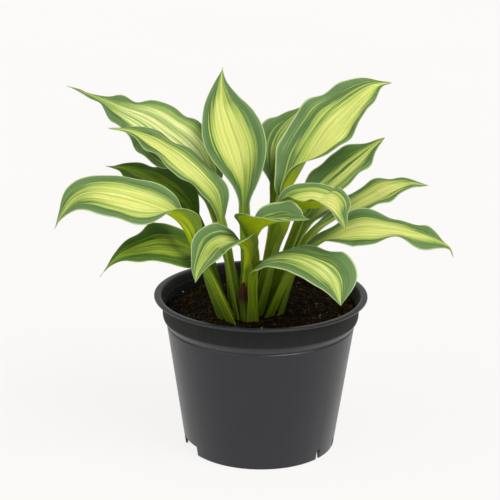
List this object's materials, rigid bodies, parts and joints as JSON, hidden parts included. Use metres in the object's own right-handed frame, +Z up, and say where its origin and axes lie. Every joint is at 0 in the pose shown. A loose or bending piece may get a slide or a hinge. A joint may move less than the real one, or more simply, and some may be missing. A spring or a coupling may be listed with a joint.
{
  "type": "potted hosta plant",
  "caption": "Clump-forming plantain lily with long-stalked, yellow-centred, blue-green edged leaves, growing in a round tapered nursery pot of black plastic.",
  "frame": {"origin": "middle of the pot's underside, on the ground", "axes": "+Z up; -Y is the plant's front; +X to the right seen from the front"},
  "size_m": [0.3023, 0.1943, 0.2991],
  "materials": {
    "pot_plastic": "satin moulded black polypropylene",
    "potting_mix": "moist dark peat and bark crumbs",
    "crown": "dull brown-green rhizome skin",
    "bud_sheath": "dry red-brown papery scale",
    "leaf": "waxy leaf, blue-green margin and yellow centre"
  },
  "bodies": {
    "root": {"pot": "pot_plastic", "potting_mix": "potting_mix", "crown": "crown", "bud_sheath": "bud_sheath", "leaf_back_centre": "leaf", "leaf_left_top": "leaf", "leaf_left_upper": "leaf", "leaf_left_shaded": "leaf", "leaf_left_arching": "leaf", "leaf_left_low": "leaf", "leaf_front_small": "leaf", "leaf_right_rear": "leaf", "leaf_right_top": "leaf", "leaf_right_upper": "leaf", "leaf_right_narrow": "leaf", "leaf_right_long": "leaf", "leaf_centre_arching": "leaf", "leaf_centre_folded": "leaf", "leaf_front_drooping": "leaf", "leaf_behind_left": "leaf", "leaf_behind_right": "leaf"}
  },
  "joints": []
}
